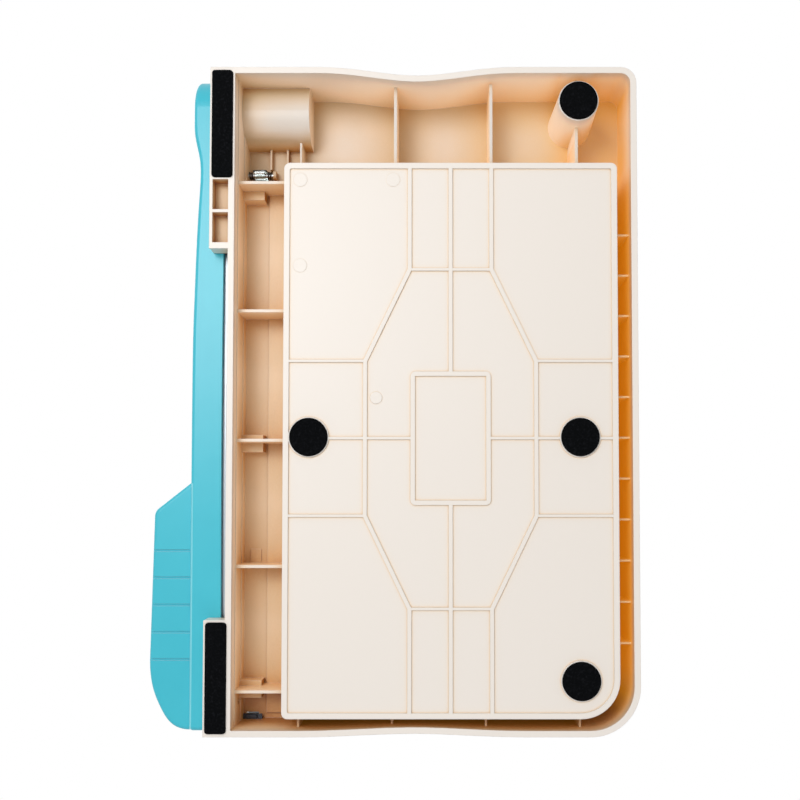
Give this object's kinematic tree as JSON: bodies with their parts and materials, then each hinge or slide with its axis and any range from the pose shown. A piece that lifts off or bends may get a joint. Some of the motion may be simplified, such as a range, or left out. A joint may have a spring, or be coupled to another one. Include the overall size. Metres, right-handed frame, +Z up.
{
  "type": "lever-arm paper trimmer",
  "caption": "Lever-arm paper trimmer with a moulded bed over a lidded storage well, a raised clamp bar along the cut and a side handle.",
  "frame": {"origin": "centre of the bounding box, at the level of the rubber feet's lower faces", "axes": "+X across the bed towards the arm and its handle, +Y towards the pivot end, +Z up"},
  "size_m": [0.2796, 0.3838, 0.0566],
  "materials": {
    "cream_plastic": "fine matt moulded ABS",
    "turquoise_plastic": "semi-gloss moulded ABS",
    "clear_plastic": "clear polished acrylic",
    "black_rubber": "matt soft rubber",
    "blade_steel": "ground and hardened steel",
    "zinc_steel": "zinc-plated steel",
    "spring_steel": "oiled spring wire",
    "white_film": "printed matt film",
    "bush_plastic": "self-lubricating acetal"
  },
  "bodies": {
    "base": {"base_shell": "cream_plastic", "round_rubber_feet": "black_rubber", "rear_rubber_pad": "black_rubber", "front_rubber_pad": "black_rubber", "bed_knife": "blade_steel", "bed_knife_screws": "zinc_steel", "pivot_bolt": "zinc_steel", "pivot_washers": "zinc_steel", "thrust_washer": "bush_plastic", "pivot_spring": "spring_steel", "pivot_lock_nut": "zinc_steel", "pivot_cover": "turquoise_plastic", "pivot_cover_screws": "zinc_steel", "paper_stop": "cream_plastic", "paper_stop_screws": "zinc_steel", "scale_strip": "white_film", "clamp_hinge_pin": "zinc_steel", "clamp_spring": "spring_steel", "clamp_catch_plate": "zinc_steel", "lid_hinge_pins": "zinc_steel"},
    "clamp": {"clamp_bar": "clear_plastic", "clamp_grip_strips": "black_rubber", "clamp_hook": "zinc_steel"},
    "lid": {"storage_lid": "cream_plastic"},
    "arm": {"arm_shell": "turquoise_plastic", "handle_lower": "turquoise_plastic", "handle_upper": "turquoise_plastic", "handle_screws": "zinc_steel", "moving_blade": "blade_steel", "blade_carrier": "zinc_steel", "blade_screws": "zinc_steel", "arm_bush": "bush_plastic", "pivot_cap": "turquoise_plastic"},
    "lock": {"lock_bolt": "zinc_steel", "lock_button": "turquoise_plastic"}
  },
  "joints": [
    {"name": "arm_pivot", "type": "hinge", "parent": "base", "child": "arm", "pos_m": [0.1017, 0.1701, 0.034], "axis": [-1, 0, 0], "range_deg": [0, 75]},
    {"name": "clamp_hinge", "type": "hinge", "parent": "base", "child": "clamp", "pos_m": [0.0807, 0.1371, 0.0338], "axis": [1, 0, 0], "range_deg": [0, 1], "stiffness_Nm_per_rad": 0.5, "springref_deg": -9.17},
    {"name": "lid_hinge", "type": "hinge", "parent": "base", "child": "lid", "pos_m": [-0.1243, -0.02465, 0.0386], "axis": [0, -1, 0], "range_deg": [0, 105]},
    {"name": "lock_slide", "type": "slide", "parent": "arm", "child": "lock", "axis": [-1, 0, 0], "range_m": [0, 0.005]}
  ]
}
